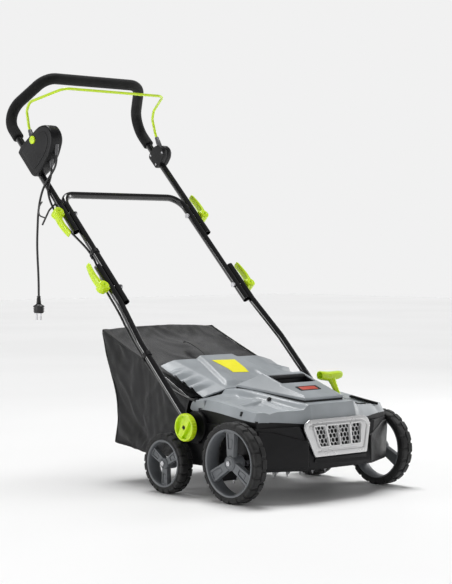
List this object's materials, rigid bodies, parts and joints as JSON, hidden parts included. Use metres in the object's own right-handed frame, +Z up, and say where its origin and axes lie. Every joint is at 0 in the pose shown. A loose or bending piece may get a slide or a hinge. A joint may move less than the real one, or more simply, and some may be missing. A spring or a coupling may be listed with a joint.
{
  "type": "lawn dethatcher",
  "caption": "Electric lawn dethatcher: wheeled blade-roller housing with grille, fabric bag, flap, folding tube handle, bail switch and hanging mains lead.",
  "frame": {"origin": "centre of the footprint's bounding box, on the ground", "axes": "+Z up; the machine's front faces -Y, the handle and bag are behind at +Y; +X is the operator's left"},
  "size_m": [0.5694, 1.1022, 1.1286],
  "materials": {
    "black_plastic": "fine moulded grain",
    "grey_cover": "fine moulded grain, satin",
    "rim_grey": "satin moulded plastic",
    "tread_black": "chunky moulded tread",
    "lime_plastic": "satin moulded plastic",
    "lime_paint": "gloss powder coat",
    "black_tube": "gloss black enamel",
    "steel": "zinc-plated steel",
    "motor_iron": "laminated core",
    "foam": "closed-cell foam skin",
    "bag_fabric": "woven black mesh",
    "silver_plastic": "silver lacquer",
    "cord_rubber": "smooth rubber sheath",
    "belt_rubber": "toothed rubber"
  },
  "bodies": {
    "chassis": {"lower_housing": "black_plastic", "top_cover": "grey_cover", "motor_lid": "grey_cover", "carry_handle": "black_plastic", "front_grille": "silver_plastic", "grille_mesh": "black_plastic", "housing_screws": "steel", "motor_stator": "motor_iron", "roller_bearings": "steel", "handle_bosses": "black_plastic", "rear_axle": "steel", "drive_belt": "belt_rubber", "lead_gland": "cord_rubber"},
    "front_axle_set": {"front_axle": "steel", "depth_lever": "lime_plastic"},
    "rotor": {"motor_rotor": "motor_iron", "motor_pulley": "steel"},
    "roller": {"roller_shaft": "steel", "roller_pulley": "black_plastic", "roller_blades": "steel", "blade_spacers": "black_plastic"},
    "front_wheel_left": {"front_tyre_left": "tread_black", "front_rim_left": "rim_grey"},
    "front_wheel_right": {"front_tyre_right": "tread_black", "front_rim_right": "rim_grey"},
    "rear_wheel_left": {"rear_tyre_left": "tread_black", "rear_rim_left": "rim_grey"},
    "rear_wheel_right": {"rear_tyre_right": "tread_black", "rear_rim_right": "rim_grey"},
    "flap": {"rear_flap": "grey_cover"},
    "bag": {"grass_bag": "bag_fabric", "bag_frame": "black_tube"},
    "lower_handle": {"lower_tube_left": "black_tube", "lower_tube_right": "black_tube", "cam_bolts_lower": "steel", "cable_clip_lower": "black_plastic", "motor_lead_lower": "cord_rubber"},
    "knob_left": {"handle_knob_left": "lime_plastic"},
    "knob_right": {"handle_knob_right": "lime_plastic"},
    "middle_handle": {"middle_tube": "black_tube", "cam_bolts_upper": "steel", "cable_clip_upper": "black_plastic", "motor_lead_middle": "cord_rubber"},
    "upper_handle": {"upper_tube": "black_tube", "foam_grip": "foam", "switch_box": "black_plastic", "bail_bracket": "black_plastic", "cord_hook": "black_plastic", "cord_glands": "cord_rubber", "motor_lead_upper": "cord_rubber", "mains_cord": "cord_rubber", "mains_plug": "cord_rubber"},
    "button": {"switch_button": "lime_plastic"},
    "bail": {"bail_bar": "lime_paint", "bail_sleeves": "black_plastic"},
    "lever_low_left": {"cam_lever_lower_left": "lime_plastic"},
    "lever_low_right": {"cam_lever_lower_right": "lime_plastic"},
    "lever_high_left": {"cam_lever_upper_left": "lime_plastic"},
    "lever_high_right": {"cam_lever_upper_right": "lime_plastic"}
  },
  "joints": [
    {"name": "depth_set", "type": "hinge", "parent": "chassis", "child": "front_axle_set", "pos_m": [0, -0.461, 0.1], "axis": [1, 0, 0], "range_deg": [0, 26]},
    {"name": "front_left_roll", "type": "hinge", "parent": "front_axle_set", "child": "front_wheel_left", "pos_m": [0.263, -0.439, 0.1], "axis": [1, 0, 0], "continuous": true},
    {"name": "front_right_roll", "type": "hinge", "parent": "front_axle_set", "child": "front_wheel_right", "pos_m": [-0.263, -0.439, 0.1], "axis": [1, 0, 0], "continuous": true},
    {"name": "rear_left_roll", "type": "hinge", "parent": "chassis", "child": "rear_wheel_left", "pos_m": [0.263, -0.191, 0.077], "axis": [1, 0, 0], "continuous": true},
    {"name": "rear_right_roll", "type": "hinge", "parent": "chassis", "child": "rear_wheel_right", "pos_m": [-0.263, -0.191, 0.077], "axis": [1, 0, 0], "continuous": true},
    {"name": "motor_spin", "type": "hinge", "parent": "chassis", "child": "rotor", "pos_m": [0, -0.379, 0.19], "axis": [1, 0, 0], "continuous": true},
    {"name": "roller_spin", "type": "hinge", "parent": "chassis", "child": "roller", "pos_m": [0, -0.344, 0.08], "axis": [1, 0, 0], "continuous": true},
    {"name": "flap_lift", "type": "hinge", "parent": "chassis", "child": "flap", "pos_m": [0, -0.248, 0.257], "axis": [1, 0, 0], "range_deg": [0, 75], "stiffness_Nm_per_rad": 0.25, "springref_deg": -28.65},
    {"name": "bag_unhook", "type": "slide", "parent": "chassis", "child": "bag", "axis": [0, 0.9487, 0.3162], "range_m": [0, 0.3]},
    {"name": "handle_tilt", "type": "hinge", "parent": "chassis", "child": "lower_handle", "pos_m": [0, -0.272, 0.175], "axis": [1, 0, 0], "range_deg": [-12, 60], "deforming": ["motor_lead_lower"]},
    {"name": "left_knob_turn", "type": "hinge", "parent": "lower_handle", "child": "knob_left", "pos_m": [0.274, -0.272, 0.175], "axis": [1, 0, 0], "continuous": true},
    {"name": "right_knob_turn", "type": "hinge", "parent": "lower_handle", "child": "knob_right", "pos_m": [-0.274, -0.272, 0.175], "axis": [1, 0, 0], "continuous": true},
    {"name": "middle_fold", "type": "hinge", "parent": "lower_handle", "child": "middle_handle", "pos_m": [0, 0.07448, 0.52148], "axis": [1, 0, 0], "range_deg": [0, 90], "deforming": ["motor_lead_middle"]},
    {"name": "upper_fold", "type": "hinge", "parent": "middle_handle", "child": "upper_handle", "pos_m": [0, 0.27389, 0.72089], "axis": [1, 0, 0], "range_deg": [0, 110], "deforming": ["motor_lead_upper"]},
    {"name": "bail_squeeze", "type": "hinge", "parent": "upper_handle", "child": "bail", "pos_m": [0, 0.42309, 0.91534], "axis": [1, 0, 0], "range_deg": [-24, 0], "stiffness_Nm_per_rad": 1.2, "springref_deg": 22.92},
    {"name": "button_press", "type": "slide", "parent": "upper_handle", "child": "button", "axis": [1, 0, 0], "range_m": [0, 0.003], "stiffness_N_per_m": 500, "springref_m": -0.001},
    {"name": "low_left_lever_swing", "type": "hinge", "parent": "lower_handle", "child": "lever_low_left", "pos_m": [0.2663, 0.07448, 0.52148], "axis": [0, -0.7071, 0.7071], "range_deg": [-120, 0]},
    {"name": "low_right_lever_swing", "type": "hinge", "parent": "lower_handle", "child": "lever_low_right", "pos_m": [-0.2663, 0.07448, 0.52148], "axis": [0, -0.7071, 0.7071], "range_deg": [0, 120]},
    {"name": "high_left_lever_swing", "type": "hinge", "parent": "middle_handle", "child": "lever_high_left", "pos_m": [0.2663, 0.27389, 0.72089], "axis": [0, -0.7071, 0.7071], "range_deg": [-120, 0]},
    {"name": "high_right_lever_swing", "type": "hinge", "parent": "middle_handle", "child": "lever_high_right", "pos_m": [-0.2663, 0.27389, 0.72089], "axis": [0, -0.7071, 0.7071], "range_deg": [-120, 0]}
  ],
  "couplings": [
    {"joint": "roller_spin", "follows": "motor_spin", "ratio": 0.53846}
  ]
}
